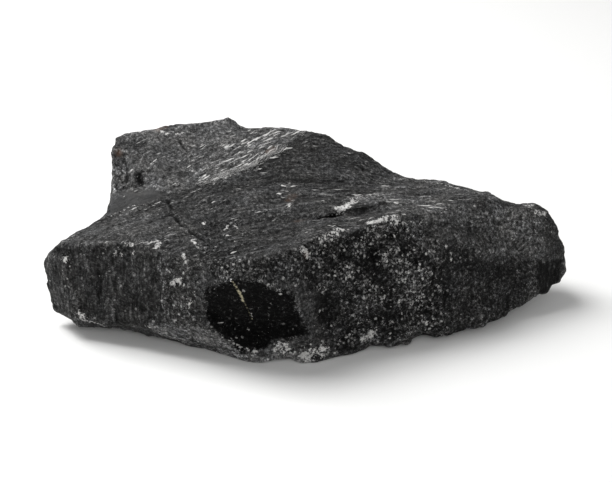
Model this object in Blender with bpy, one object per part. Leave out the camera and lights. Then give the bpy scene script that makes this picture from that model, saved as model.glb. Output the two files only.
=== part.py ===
"""Natural dark stone: a wedge-shaped slab with a raised block at the back left, a low lobe in
front of it and a long lobe to the right. Lengths below are millimetres on the stone itself,
X to the right, Y to the back, Z up from the flat spot it rests on."""

import math

import bmesh
import bpy
from mathutils import Vector, noise

MM = 0.001
NODE_NAME = "rock"
# Linear colour of the dark stone
STONE_COLOUR = (0.045, 0.045, 0.044, 1.0)
STONE_ROUGHNESS = 0.7

# Size of the finished skin's triangles
LONGEST_EDGE = 6.2
REFINE_ROUNDS = 6
RELAX_ROUNDS = 3
RELAX_SHARE = 0.5
# Facets that meet at a smaller angle than this run into each other softly
SHARPEST_SOFT_FOLD = math.radians(4)

# Relief on a plain facet and on the special ones: wide swells, knobs, grain, ledges of the layers
PLAIN_RELIEF = (1.8, 1.2, 0.7, 0.0)
RELIEF = {
    "block_slope": (1.2, 1.0, 0.7, 0.8),
    "cheek": (0.8, 0.6, 0.3, 0.0),
    "dark_slope": (1.2, 0.9, 0.5, 1.2),
    "top": (1.6, 1.0, 0.6, 1.4),
    "front_shelf": (1.2, 1.0, 0.7, 1.0),
    "hollow_top": (0.8, 0.8, 0.5, 0.0),
    "hollow_low": (0.8, 0.8, 0.5, 0.0),
    "right_face": (1.6, 1.6, 1.3, 0.0),
    "right_face_low": (1.6, 1.6, 1.3, 0.0),
    "right_end": (0.8, 0.6, 0.6, 0.0),
    "right_chip": (0.5, 0.5, 0.4, 0.0),
    "back": (2.6, 2.0, 1.0, 0.0),
    "back_low": (2.6, 2.0, 1.0, 0.0),
}
# Pits and broken-out spots: centre, width, depth
PITS = [
    # Dark hole low on the slope of the block
    ((-77, 13.5, 57.5), 4.0, 3.0),
    # Crevice down the left end of the slope
    ((-84, 20.5, 63.5), 3.5, 1.2),
    # Broken edge of the low left lobe
    ((-78.5, -36.5, 47.5), 6.0, 1.8),
    ((-67, -40, 50), 5.0, 1.4),
    # Chip on the corner face
    ((-55.5, -49, 36), 4.5, 1.6),
    # Groove below the crest of the right face, and a pit further down
    ((30, -37, 47), 4.5, 2.4),
    ((9, -51, 24), 6.0, 2.0),
    ((62, -30, 25), 7.0, 1.8),
]
# Share of the relief left on the lines between facets
EDGE_RELIEF = 0.45
# The stone splits in layers that dip to the front: their direction, thickness and waviness
LAYER_DIRECTION = Vector((0.10, -0.40, 0.91)).normalized()
LAYER_THICKNESS = 4.6
LAYER_WAVE = 0.9
LEDGE_STEP_SHARE = 0.22
# Everything but the flat rest spot stays at least this high
CLEAR_OF_REST = 0.3

# Back edge of the low left lobe, from its blunt end to the notch beside the block
LOBE_BACK = [
    (-114.5, -18, 36.5), (-109, -20, 44), (-103, -16, 47), (-96, -10, 47), (-90, -1, 48),
]
# Steep left side of the block, seen edge-on from the front
CLIFF = [(-89, 11, 54.5), (-90.5, 17, 61.5), (-91, 22, 68), (-89.5, 32, 72.5)]
# Top ridge of the block, left to right
RIDGE = [
    (-83.5, 37, 73), (-74, 42, 73), (-63.5, 47, 74.5), (-48.5, 52, 73.5), (-37.5, 56, 74.5),
    (-33.5, 56, 72.5), (-29, 53, 70.5), (-10, 54, 69), (1.5, 54, 67.5),
]
# Ridge falling from the block to the right lobe
SHOULDER = [
    (10.5, 51, 67), (18.5, 48, 63), (28.5, 43, 61), (36, 39, 57.5), (44, 34, 54),
]
# Back edge of the right lobe's flat top
RIGHT_BACK = [
    (48, 32, 53), (58.5, 28, 54), (66, 25, 53.5), (73, 21, 52.5), (79.5, 18, 51.5),
    (85, 17, 52), (92, 15, 48.5), (98.5, 14, 47), (105, 13, 48.5), (110, 12, 46),
]
# Line where the sloping face of the block meets the wide top, left to right
BREAK = [
    (-72, 10, 55), (-63, 6, 54.5), (-46.5, 14, 56.5), (-35.5, 19, 58.5), (-26, 25, 61),
]
BREAK_END = [(-18, 31, 63.5), (-9.5, 38, 65.5)]
# Low corner of the smooth cheek beside the notch
CHEEK = (-80, 0, 50.5)
# Foot of the dark triangular slope right of the block
SLOPE_FOOT = [(-16.5, 13, 57.5), (2, 11, 57), (20.5, 12, 56)]
# Small ledge across the middle of the top: its lip and the floor in front of it
LEDGE_LIP = [(5.5, -20, 56.5), (17.5, -15, 57.5), (35, -11, 58.5)]
LEDGE_FLOOR = [(5.5, -22, 54), (17.5, -18, 54.5), (35.5, -14, 56)]
LEDGE_START = (-10.5, -18, 55.5)
LEDGE_END = (46.5, -9, 57)
# Front edge of the top, along the left lobe, the blunt middle corner and the right lobe
CREST_LEFT = [(-107.5, -25, 43.5), (-92, -31, 48), (-77, -36, 50), (-67, -40, 50), (-61.5, -43.5, 49)]
CREST_CORNER = [(-51.5, -48, 49.5), (-43, -52, 48.5)]
CREST_MIDDLE = [(-27.5, -57, 52.5), (-18.5, -59, 54), (-12.5, -57, 56.5), (-4, -53, 56)]
CREST_RIGHT = [
    (2.5, -47, 56.5), (7, -41, 57.5), (14.5, -37, 57), (21, -36, 56), (28.5, -31, 57.5),
    (36.5, -25, 58), (46.5, -22, 57), (61, -14, 56), (74, -6, 55), (81.5, 0, 55.5),
    (91, 2, 51.5), (98, 4, 49), (104.5, 8, 47.5),
]
# Left end of the stone
LEFT_TIP = (-118, -14, 30)
LEFT_END = [(-117.5, -15, 24), (-117.5, -16, 13)]
# Line half-way down the left and corner faces
WAIST_LEFT = [(-104.5, -29, 27.5), (-90.5, -34, 29.5), (-76.5, -39, 32), (-62, -45.5, 33)]
WAIST_CORNER = [(-51.5, -51, 34)]
# Rim, floor and sides of the black hollow in the front corner
HOLLOW_RIM = [
    (-42.5, -55.5, 36.5), (-35.5, -58, 43.5), (-25.5, -60.5, 44.5), (-18.5, -61.5, 44),
    (-13, -61.5, 39.5), (-5, -59.5, 35),
]
HOLLOW_FLOOR = [(-39, -51.5, 22.5), (-29.5, -50, 16), (-20, -50.5, 12.5), (-7.5, -54, 20)]
HOLLOW_LEFT = (-44, -54.5, 28.5)
HOLLOW_RIGHT = (-1, -57.5, 23.5)
# Half-way line of the long right face, and its lower border with the shaded facet
WAIST_RIGHT = [
    (8.5, -50.5, 33.5), (23.5, -44, 34.5), (41, -37.5, 33), (54.5, -30.5, 35), (64.5, -24.5, 39),
    (79, -19.5, 30.5), (94, -12.5, 18),
]
# Right end: its outline, and the edge where the long face turns into it
RIGHT_END = [(113, 12, 44), (117, 11, 36.5), (120, 10, 30), (122, 10, 21.5)]
RIGHT_LOW = [(122.5, 8, 15.5), (119.5, 5, 10), (115.5, 3, 10), (113.5, 0, 7)]
RIGHT_EDGE = [(112.5, 5, 34), (110.5, 0, 26)]
RIGHT_CHIP = [(109.5, -2, 18), (108, -5, 11.5)]
RIGHT_FOOT = (108, -4, 7)
# Foot of the front faces, above the undercut
FOOT_LEFT = [(-106, -31, 10), (-93, -35, 10.5), (-77.5, -40, 13.5), (-63, -46, 14.5)]
FOOT_CORNER = [(-50, -52, 17.5)]
FOOT_HOLLOW = [
    (-40.5, -52.5, 16.5), (-33, -51.5, 9.5), (-27.5, -51, 7), (-19, -51.5, 3.5), (-9, -54, 9),
    (2, -55, 14),
]
# Lowest visible line in front, left to right
BASE_LEFT_CORNER = (-116, -17, 6.5)
BASE_LEFT = [
    (-107, -23.5, 5), (-103, -28, 3.5), (-93, -28, 3), (-79.5, -29, 3), (-65.5, -33, 1.5),
    (-55, -38, 1), (-45, -41.5, 0.5), (-34, -48, 0), (-26.5, -52.5, 0), (-19, -54.5, 0),
    (-13.5, -52.5, 1), (-7.5, -51, 1), (-2.5, -54.5, 0), (5, -53.5, 0),
]
BASE_RIGHT = [
    (12.5, -49, 0), (21.5, -46, 0.5), (28.5, -41, 1.5), (39.5, -41.5, 1.5), (46, -40, 1.5),
    (48.5, -34.5, 2), (60, -34.5, 2), (69, -30.5, 2.5), (79, -26, 3), (88.5, -21, 4),
    (98.5, -12.5, 5),
]
# Rounded back of the stone, half-way up and at the foot, left to right
BELLY = [
    (-108, -2, 28), (-97, 8, 28), (-90, 20, 32), (-88, 36, 38), (-80, 50, 40), (-62, 58, 40),
    (-38, 64, 42), (-12, 62, 40), (12, 59, 38), (32, 52, 36), (50, 45, 34), (70, 39, 32),
    (88, 35, 30), (104, 32, 28), (115, 24, 24),
]
BASE_BACK = [
    (-106, -10, 6), (-95, 2, 5), (-85, 14, 4), (-80, 30, 5), (-70, 42, 6), (-50, 50, 5),
    (-25, 54, 6), (0, 50, 5), (22, 44, 4), (42, 36, 5), (62, 31, 6), (82, 26, 7), (100, 20, 8),
]
# Flat spot that the stone rests on
REST_LEFT = (-46, -14, 0)
REST_RIGHT = (36, -10, 0)
REST_FRONT = [(-38, -32, 0), (-24, -44, 0), (-4, -47, 0), (14, -42, 0), (28, -30, 0)]
REST_BACK = [(-40, 8, 0), (-24, 20, 0), (-2, 23, 0), (20, 16, 0)]

SKYLINE = LOBE_BACK + CLIFF + RIDGE + SHOULDER + RIGHT_BACK
CREST = CREST_LEFT + CREST_CORNER + CREST_MIDDLE + CREST_RIGHT
BASE_FRONT = [BASE_LEFT_CORNER] + BASE_LEFT + BASE_RIGHT + [RIGHT_FOOT]

# Each facet of the stone is the skin between two of its lines
FACETS = {
    "left_end": (
        [LOBE_BACK[0], LEFT_TIP] + LEFT_END + [BASE_LEFT_CORNER],
        [CREST[0], WAIST_LEFT[0], FOOT_LEFT[0]],
    ),
    "block_slope": (
        CLIFF + RIDGE,
        CLIFF[:1] + BREAK + BREAK_END + RIDGE[-1:],
    ),
    "cheek": (CLIFF[:1] + BREAK[:2], [LOBE_BACK[-1], CHEEK, BREAK[1]]),
    "dark_slope": (
        [BREAK[-1]] + BREAK_END + RIDGE[-1:] + SHOULDER,
        [BREAK[-1]] + SLOPE_FOOT + SHOULDER[-1:],
    ),
    "top": (
        LOBE_BACK + [CHEEK] + BREAK[1:] + SLOPE_FOOT + SHOULDER[-1:] + RIGHT_BACK,
        CREST_LEFT + CREST_CORNER[:1] + [LEDGE_START] + LEDGE_LIP + [LEDGE_END] + CREST_RIGHT[7:]
        + RIGHT_BACK[-1:],
    ),
    "ledge": (
        [LEDGE_START] + LEDGE_LIP + [LEDGE_END],
        [LEDGE_START] + LEDGE_FLOOR + [LEDGE_END],
    ),
    "front_shelf": (
        [CREST_CORNER[0], LEDGE_START] + LEDGE_FLOOR + [LEDGE_END, CREST_RIGHT[7]],
        CREST_CORNER + CREST_MIDDLE + CREST_RIGHT[:8],
    ),
    "left_face": (CREST_LEFT, WAIST_LEFT),
    "left_face_low": (WAIST_LEFT, FOOT_LEFT),
    "corner_face": (
        CREST_LEFT[-1:] + CREST_CORNER,
        WAIST_LEFT[-1:] + WAIST_CORNER + HOLLOW_RIM[:1],
    ),
    "corner_face_low": (
        WAIST_LEFT[-1:] + WAIST_CORNER + [HOLLOW_RIM[0], HOLLOW_LEFT, FOOT_HOLLOW[0]],
        FOOT_LEFT[-1:] + FOOT_CORNER + FOOT_HOLLOW[:1],
    ),
    "brow": (CREST_CORNER[-1:] + CREST_MIDDLE, HOLLOW_RIM),
    "hollow_top": (
        [HOLLOW_LEFT] + HOLLOW_RIM + [HOLLOW_RIGHT],
        [HOLLOW_LEFT] + HOLLOW_FLOOR + [HOLLOW_RIGHT],
    ),
    "hollow_low": (
        [HOLLOW_LEFT] + HOLLOW_FLOOR + [HOLLOW_RIGHT],
        [HOLLOW_LEFT] + FOOT_HOLLOW + [HOLLOW_RIGHT],
    ),
    "right_face": (
        CREST_MIDDLE[-1:] + CREST_RIGHT + RIGHT_BACK[-1:] + RIGHT_EDGE + RIGHT_CHIP,
        HOLLOW_RIM[-1:] + WAIST_RIGHT + RIGHT_CHIP[-1:],
    ),
    "right_face_low": (
        HOLLOW_RIM[-1:] + WAIST_RIGHT + RIGHT_CHIP[-1:],
        [HOLLOW_RIM[-1], HOLLOW_RIGHT, FOOT_HOLLOW[-1]] + BASE_RIGHT + [RIGHT_FOOT],
    ),
    "right_end": (
        RIGHT_BACK[-1:] + RIGHT_END,
        RIGHT_BACK[-1:] + RIGHT_EDGE,
    ),
    "right_chip": (
        RIGHT_END[-1:] + RIGHT_LOW + [RIGHT_FOOT],
        RIGHT_EDGE[-1:] + RIGHT_CHIP + [RIGHT_FOOT],
    ),
    "undercut": (
        FOOT_LEFT + FOOT_CORNER + FOOT_HOLLOW + BASE_RIGHT[:1],
        [BASE_LEFT_CORNER] + BASE_LEFT + BASE_RIGHT[:1],
    ),
    "back": (
        SKYLINE + RIGHT_END + RIGHT_LOW[:1],
        [LEFT_TIP] + BELLY + RIGHT_LOW[:1],
    ),
    "back_low": (
        [LEFT_TIP] + BELLY + RIGHT_LOW[:1],
        [LEFT_TIP] + LEFT_END + [BASE_LEFT_CORNER] + BASE_BACK + [RIGHT_FOOT] + RIGHT_LOW[::-1],
    ),
    "under_front": (BASE_FRONT, [REST_LEFT] + REST_FRONT + [REST_RIGHT]),
    "under_back": (
        [BASE_LEFT_CORNER] + BASE_BACK + [RIGHT_FOOT],
        [REST_LEFT] + REST_BACK + [REST_RIGHT],
    ),
}
REST_FACET = len(FACETS)
REST = [REST_LEFT] + REST_FRONT + [REST_RIGHT] + REST_BACK[::-1]


def zip_lines(first, second):
    """Triangles of the skin between two lines, closing the shorter diagonal at each step."""
    triangles = []
    i = 0
    j = 0
    while i < len(first) - 1 or j < len(second) - 1:
        if j == len(second) - 1:
            along_first = True
        elif i == len(first) - 1:
            along_first = False
        else:
            along_first = math.dist(first[i + 1], second[j]) <= math.dist(first[i], second[j + 1])
        if along_first:
            triangle = (first[i], first[i + 1], second[j])
            i += 1
        else:
            triangle = (first[i], second[j + 1], second[j])
            j += 1
        if len(set(triangle)) == 3:
            triangles.append(triangle)
    return triangles


def build_facets():
    """The stone with flat facets only. Each triangle keeps the number of its facet."""
    bm = bmesh.new()
    facet_of = bm.faces.layers.int.new("facet")
    corners = {}
    for number, (first, second) in enumerate(FACETS.values()):
        for triangle in zip_lines(first, second):
            for corner in triangle:
                if corner not in corners:
                    corners[corner] = bm.verts.new(Vector(corner) * MM)
            face = bm.faces.new([corners[corner] for corner in triangle])
            face[facet_of] = number
    rest = bm.faces.new([corners[corner] for corner in REST])
    rest[facet_of] = REST_FACET
    bmesh.ops.triangulate(bm, faces=[rest])
    bmesh.ops.recalc_face_normals(bm, faces=bm.faces[:])
    if bm.calc_volume(signed=True) < 0:
        bmesh.ops.reverse_faces(bm, faces=bm.faces[:])
    for edge in bm.edges:
        numbers = {face[facet_of] for face in edge.link_faces}
        folded = edge.calc_face_angle() > SHARPEST_SOFT_FOLD
        edge.smooth = len(numbers) == 1 or not (folded or REST_FACET in numbers)
    return bm


def refine(bm):
    """Splits long edges until the triangles are even, keeping the sharp lines of the stone."""
    for _ in range(REFINE_ROUNDS):
        long_edges = [edge for edge in bm.edges if edge.calc_length() > LONGEST_EDGE * MM]
        bmesh.ops.subdivide_edges(bm, edges=long_edges, cuts=1)
        bmesh.ops.triangulate(bm, faces=[face for face in bm.faces if len(face.verts) > 3])
        for _ in range(RELAX_ROUNDS):
            soft_edges = [edge for edge in bm.edges if edge.smooth]
            bmesh.ops.beautify_fill(bm, faces=bm.faces[:], edges=soft_edges, method="ANGLE")
            free = [vert for vert in bm.verts if all(edge.smooth for edge in vert.link_edges)]
            bmesh.ops.smooth_vert(
                bm, verts=free, factor=RELAX_SHARE, use_axis_x=True, use_axis_y=True, use_axis_z=True
            )


def lump(point, size, seed):
    """Smooth height between about -1 and 1 that changes over the given size in millimetres."""
    return noise.noise(Vector(point) / size + Vector((seed, -seed, seed)))


def ledge(point):
    """Height of the thin layers where they come out on the top: a slow rise, then a small step."""
    layer = Vector(point).dot(LAYER_DIRECTION) / LAYER_THICKNESS + LAYER_WAVE * lump(point, 45, 7.3)
    rise = layer - math.floor(layer)
    step = min(1.0, (1.0 - rise) / LEDGE_STEP_SHARE)
    return rise * step - 0.5


def relief(point, amounts):
    """How far the surface stands out at this point, in millimetres."""
    swell, knob, grain, layers = amounts
    height = swell * lump(point, 34, 1.7) + knob * lump(point, 15, 4.1) + grain * lump(point, 7.5, 9.2)
    return height + layers * ledge(point)


def pit_depth(point):
    """Depth of the pits at this point, in millimetres: each is a smooth round hollow."""
    depth = 0.0
    for centre, width, deepest in PITS:
        away = math.dist(point, centre) / width
        depth += deepest * math.exp(-away * away)
    return depth


def roughen(bm):
    """Moves every corner in or out by the relief of the facets it belongs to."""
    facet_of = bm.faces.layers.int["facet"]
    names = list(FACETS)
    bm.normal_update()
    moved = []
    for vert in bm.verts:
        numbers = [face[facet_of] for face in vert.link_faces]
        if REST_FACET in numbers:
            continue
        amounts = [0.0, 0.0, 0.0, 0.0]
        for number in numbers:
            for k, amount in enumerate(RELIEF.get(names[number], PLAIN_RELIEF)):
                amounts[k] += amount / len(numbers)
        if len(set(numbers)) > 1:
            amounts = [amount * EDGE_RELIEF for amount in amounts]
        point = vert.co / MM
        height = relief(point, amounts) - pit_depth(point)
        moved.append((vert, point + vert.normal * height))
    for vert, point in moved:
        vert.co = Vector((point.x, point.y, max(point.z, CLEAR_OF_REST))) * MM


def settle(bm):
    """Makes the rest spot one flat face and moves the stone's origin to the middle of its foot."""
    facet_of = bm.faces.layers.int["facet"]
    rest = [face for face in bm.faces if face[facet_of] == REST_FACET]
    bmesh.ops.dissolve_faces(bm, faces=rest)
    bmesh.ops.triangulate(bm, faces=[face for face in bm.faces if len(face.verts) > 3])
    low = [min(vert.co[axis] for vert in bm.verts) for axis in range(3)]
    high = [max(vert.co[axis] for vert in bm.verts) for axis in range(3)]
    middle = Vector(((low[0] + high[0]) / 2, (low[1] + high[1]) / 2, low[2]))
    bmesh.ops.translate(bm, verts=bm.verts[:], vec=-middle)


def dark_schist():
    """Near-black fine-grained layered stone, dull where it broke across the layers."""
    material = bpy.data.materials.new("dark_schist")
    material.use_nodes = True
    shader = material.node_tree.nodes["Principled BSDF"]
    shader.inputs["Base Color"].default_value = STONE_COLOUR
    shader.inputs["Roughness"].default_value = STONE_ROUGHNESS
    shader.inputs["Metallic"].default_value = 0.0
    return material


def main():
    for obj in list(bpy.data.objects):
        bpy.data.objects.remove(obj)
    bm = build_facets()
    refine(bm)
    roughen(bm)
    settle(bm)
    mesh = bpy.data.meshes.new(NODE_NAME)
    bm.to_mesh(mesh)
    bm.free()
    mesh.materials.append(dark_schist())
    stone = bpy.data.objects.new(NODE_NAME, mesh)
    bpy.context.scene.collection.objects.link(stone)


main()
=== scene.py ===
"""Natural dark schist stone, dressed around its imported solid: a fine skin made of the solid's own
triangles, one stone finish and a pale studio. Lengths are millimetres unless a name says otherwise:
X to the right, Y to the back, Z up from the spot that the stone rests on."""

import itertools
import math

import bpy
import numpy as np
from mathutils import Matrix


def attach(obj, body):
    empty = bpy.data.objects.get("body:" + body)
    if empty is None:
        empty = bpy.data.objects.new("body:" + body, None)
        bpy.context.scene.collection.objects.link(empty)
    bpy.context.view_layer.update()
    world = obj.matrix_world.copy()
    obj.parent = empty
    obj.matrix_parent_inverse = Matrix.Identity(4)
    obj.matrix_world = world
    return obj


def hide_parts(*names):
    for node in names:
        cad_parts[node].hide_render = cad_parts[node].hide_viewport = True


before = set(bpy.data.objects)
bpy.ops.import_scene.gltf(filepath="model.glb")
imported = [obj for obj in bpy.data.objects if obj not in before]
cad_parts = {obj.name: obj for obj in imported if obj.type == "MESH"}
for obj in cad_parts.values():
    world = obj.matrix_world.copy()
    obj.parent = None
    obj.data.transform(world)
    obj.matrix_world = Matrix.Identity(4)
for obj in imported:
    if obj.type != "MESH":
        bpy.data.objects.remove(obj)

bl_info = {
    "name": "Dark schist stone",
    "version": (1, 0, 0),
    "blender": (4, 5, 0),
    "location": "3D View > Sidebar > Stone",
    "description": "Fine skin, stone finish and pale studio for a natural dark schist stone",
    "category": "Object",
}

MM = 0.001
SOLID = "rock"
SKIN = "rock_skin"
BODY = "root"

# Corners closer than this are one
MERGE_MM = 0.001
# Square of a length that counts as none
TINY = 1e-9
# Below the first height the skin keeps the solid's flat rest spot, above the second it is rough
REST_HEIGHTS = (0.15, 2.0)
REST_CLEARANCE = 0.05
# Rounds of relaxing that leave the broad shape under an edge, and the surface around a small rise
BROAD_ROUNDS = 14
NEAR_ROUNDS = 5

# Slope of the streaks seen from above, on the left and on the right, and where they bend between
STREAK_SLOPE_LEFT = 0.5
STREAK_SLOPE_RIGHT = 0.03
STREAK_BEND = (-70.0, 10.0)
# Slope of the streaks on the block slope
STREAK_SLOPE_BLOCK = 0.78
# Fall of the layers seen edgewise, under the front and on the back
BED_SLOPE = 0.2

# Large odd numbers that mix a cell's three coordinates, its seed and then all of its bits
CELL_MIXERS = (73856093, 19349663, 83492791)
SEED_MIXER = 961748927
BIT_MIXERS = ((15, 1274126177), (13, 1103515245))
WORD = 0xFFFFFFFF
LOW_BITS = 0xFFFFFF
# What brings the noise to about -1 to 1, and the steps between its seeds
NOISE_GAIN = 1.5
SIZE_SEED = 17
LABEL_SEED = 71

# Facets of their own colour, drawn on the stone's plan (X and Y) or its front (X and Z): outline,
# width of the soft border and share of light that the stone gives back there. The under strip's
# share also holds painted light, and the hollow's and the right chip's hold painted shade
PLAN_FACETS = {
    "block_slope": (
        [
            (-94, 9), (-95, 22), (-87, 38), (-50, 53), (-31, 56), (0, 56), (-12, 37), (-28, 24),
            (-48, 13), (-65, 5),
        ],
        2.0, 0.091,
    ),
    "lobe_top": (
        [(-112, -22), (-92, -8), (-68, -8), (-63, -24), (-68, -36), (-90, -35)],
        3.0, 0.061,
    ),
    "cheek": ([(-92, 10), (-74, 9), (-65, 4), (-80, -1.5), (-92, -3)], 1.0, 0.057),
    "dark_slope": (
        [
            (-28, 24), (-12, 37), (-1, 53), (8, 50), (26, 42), (42, 33), (18, 11), (0, 10),
            (-18, 12),
        ],
        2.5, 0.037,
    ),
    "right_top": (
        [(40, 36), (70, 24), (104, 12), (90, -2), (60, -3), (36, 2), (30, 18)],
        4.0, 0.058,
    ),
    "pale_band": (
        [(18, -4), (34, 3), (60, -3), (60, -16), (50, -21), (37, -22), (24, -13)],
        2.5, 0.086,
    ),
}
FRONT_FACETS = {
    "left_face": ([(-125, 45), (-62, 48), (-64, 14), (-90, 5), (-125, 5)], 2.0, 0.029),
    "corner": ([(-66, 46), (-56, 50), (-46, 48), (-45, 20), (-52, 14), (-66, 18)], 2.0, 0.038),
    "brow": ([(-46, 52), (-2, 54), (-4, 42), (-20, 43), (-40, 42), (-46, 46)], 1.5, 0.028),
    "sugary": (
        [
            (-5, 52), (8, 55), (29, 56), (39, 55.5), (56, 46), (58, 19), (58, 6), (42, 5), (13, 3),
            (6, 14), (10, 29), (-2, 40),
        ],
        4.0, 0.017,
    ),
    "right_low": (
        [(56, 44), (64, 42), (84, 30), (103, 25), (108, 10), (85, 0), (56, 0)],
        4.0, 0.024,
    ),
    "right_high": ([(62, 54), (88, 52), (108, 46), (108, 26), (84, 31), (64, 43)], 3.0, 0.076),
    # Strip under the front: lighter than the stone's own colour, painted light standing in for the
    # light that the pale floor throws up onto it
    "under": (
        [(-70, 14), (-46, 17.5), (-30, 5), (0, 5), (0, -2), (-30, -2), (-70, 6)],
        1.5, 0.122,
    ),
    # Near black: partly the dark glassy face, partly painted shade under the brow's overhang
    "hollow": (
        [
            (-45, 36), (-37.5, 42.5), (-27.5, 44.5), (-20.5, 42.5), (-8, 37.5), (-6.5, 30),
            (-2.5, 23), (-1, 15.5), (-13.5, 11), (-24.5, 4.5), (-29.5, 4.5), (-37, 10.5),
            (-42.5, 16), (-46.5, 26),
        ],
        0.8, 0.0015,
    ),
    "right_rim": ([(101.5, 26), (104.5, 27), (104.5, 9), (101, 8)], 0.8, 0.060),
    # Dark notch at the right end: painted shade of its overhang
    "right_chip": ([(104.5, 25), (118, 22), (118, 10), (112, 7), (104, 8)], 0.8, 0.0065),
}
# Share given back by cleaved and by broken surface elsewhere
TOP_TONE = 0.043
BROKEN_TONE = 0.036

# Routes on the stone: points, reach to each side, strength
STREAK_BAND = [
    ([(-50, 14.5, 58), (-41, 18, 59), (-23, 29, 63), (-13, 36, 65)], 8.0, 1.0),
    ([(-48, 21, 61), (-31, 32, 64), (-19, 39, 66)], 9.0, 0.8),
    ([(-38, 35, 66), (-19, 45, 68), (-6, 51, 68)], 9.0, 0.95),
    ([(-60, 20, 62), (-40, 33, 65)], 10.0, 0.45),
    ([(-57, 27.5, 64.5), (-52, 28.3, 64), (-46, 28.5, 63.5)], 2.6, 0.9),
    ([(36, -9, 57.5), (50, -13, 57), (59, -11, 56)], 9.0, 0.66),
    ([(58, -8, 56), (78, 2, 54)], 6.0, 0.5),
    ([(14, -5, 57), (24, 3, 56)], 7.0, 0.6),
]
WHITE_CHIPS_AND_RIM_HIGHLIGHT = [
    ([(-85.5, -35.5, 42.5), (-84.5, -35.5, 46.5), (-80.5, -36, 49.5), (-77, -37.5, 48.5)], 1.7, 0.7),
    ([(-82.5, -36, 43), (-81.5, -36, 46), (-79, -36.5, 46.5)], 1.6, 0.75),
    ([(-75.5, -38.5, 46.5), (-76.5, -39, 42)], 1.6, 0.7),
    ([(-81.5, -36.5, 43.5), (-80, -36.5, 45)], 3.6, 0.4),
    ([(-45, 12, 57), (-43.5, 15, 58)], 2.6, 0.9),
    ([(-40, 16, 58.5), (-37.5, 19, 60)], 2.0, 0.85),
    ([(54, 26, 53), (61.5, 20.5, 53.5), (68, 17, 53.5)], 3.0, 0.6),
    ([(67, 17, 53.5), (71, 12.5, 53.5)], 3.5, 0.7),
    ([(72, 11, 54), (76, 6, 54.5), (82, 5, 53.5)], 5.0, 0.68),
    ([(-104, -27.5, 45.5), (-94.5, -31, 48), (-87, -34, 48.7)], 1.8, 0.5),
    ([(-75, -37.5, 50), (-70, -38, 50.5)], 1.8, 0.65),
    ([(-69.5, -38, 50.5), (-66.5, -38, 50.5), (-66, -40.5, 49)], 3.0, 0.9),
    ([(-109.5, -27.5, 38.5), (-109.5, -27.5, 36.5)], 1.9, 1.3),
    ([(-107.5, -28, 41.5), (-106.5, -29, 34)], 1.7, 0.75),
    ([(-60.5, -47, 34.5), (-56, -48.5, 37)], 3.2, 0.95),
    ([(-53, -51, 29), (-53, -51, 26)], 2.6, 0.85),
    ([(-50.5, -53, 34), (-49.5, -53.5, 33)], 3.0, 0.75),
    ([(-51.5, -35.5, 51), (-49, -42.5, 51)], 3.0, 0.95),
    ([(-55, -48.5, 49), (-53.5, -49, 47)], 3.0, 0.95),
    ([(11, -18, 57), (16, -13, 57), (19.5, -7, 56.5)], 4.2, 1.05),
    ([(19, -4, 56.5), (27, 0, 56.5), (34, -3, 57)], 5.0, 0.6),
    ([(4, -8.5, 57), (5.5, -9.5, 57.5)], 2.0, 1.0),
    ([(26, -32.5, 57), (30, -30, 58), (33, -28, 58)], 3.8, 1.15),
    ([(37, -27, 57), (38, -27.5, 55)], 4.2, 0.9),
    ([(42, -25, 55), (50, -22, 53)], 5.0, 0.65),
    ([(4, -45, 54.5), (7.5, -42, 55.5), (10.5, -40.5, 56.5)], 4.8, 0.85),
    ([(12, -39.5, 56.5), (18, -38, 56.5)], 2.4, 0.85),
    ([(-4, -52, 54.5), (-1.5, -51, 50)], 3.4, 0.9),
    ([(34, -36, 44), (38, -35, 45), (38, -36, 41)], 5.5, 0.6),
    ([(23, -46.5, 8), (28, -43.5, 9)], 3.8, 0.9),
    ([(49.5, -35.5, 11.5), (52.5, -34.5, 10)], 3.0, 0.9),
    ([(60, -34, 6.5), (60, -34, 5.5)], 3.0, 0.75),
    ([(59, -25.5, 43), (59, -25.5, 42.5)], 2.4, 1.0),
    ([(62, -25.5, 40.5), (62.3, -27, 36.5)], 1.8, 1.0),
    ([(100.5, 9, 47.5), (104.5, 6.5, 45.5), (109, 9, 43.5)], 3.2, 0.85),
    ([(-103, -33, 12), (-100, -33, 9.5)], 4.2, 0.85),
    ([(-99, -33, 9), (-93, -32.5, 7)], 4.5, 0.65),
    ([(-72, -42, 13), (-66, -44, 13)], 3.2, 0.8),
    ([(-13, -55.5, 7.5), (-8, -54.5, 4.5), (-2, -54.5, 3.5), (5, -53, 5.5)], 7.0, 0.95),
    ([(-35.5, -53, 10.5), (-29.5, -53, 6.3), (-23, -53, 4.4)], 2.0, 0.9),
    ([(-26.3, -55, 24), (-25.8, -54, 20)], 1.1, 0.9),
    ([(-71, 40, 72.3), (-67.5, 40.3, 71.5)], 2.4, 0.85),
    ([(-63.8, 39.5, 70.5), (-60, 40.8, 70.5)], 2.2, 0.85),
    ([(-54.8, 19.5, 60), (-54, 19.5, 60)], 2.0, 0.9),
    # White line along the cheek's lower rim: painted highlight
    ([(-90, -4.5, 48.5), (-85.5, -2.5, 49.5), (-80, -1.5, 51), (-76, 0.5, 52)], 2.6, 0.55),
    ([(-20.5, -62.5, 43.2), (-17, -62.8, 41.5)], 1.6, 0.7),
    ([(-13.5, 9.5, 57.5), (-11, 6.5, 57.5)], 1.8, 1.05),
    ([(-17, -4, 57), (-14.5, -0.5, 57)], 1.7, 1.15),
    ([(-38, -28.5, 51.5), (-37, -24, 52)], 1.7, 1.1),
    ([(-34, -24.5, 52), (-33, -27.5, 52)], 1.6, 1.0),
    ([(-37.5, -32.5, 51.5), (-35, -33, 51.5)], 1.6, 1.0),
    ([(-34, -36.5, 51.5), (-31.5, -40, 52)], 1.8, 0.9),
    ([(-48, -23, 52.5), (-46.5, -23, 52.5)], 1.6, 1.0),
    ([(-9.5, -10, 56.5), (-9, -13.5, 56.5)], 2.4, 0.9),
    ([(71, 9, 53.5), (73, 9.5, 53.5)], 2.0, 0.8),
]
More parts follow.
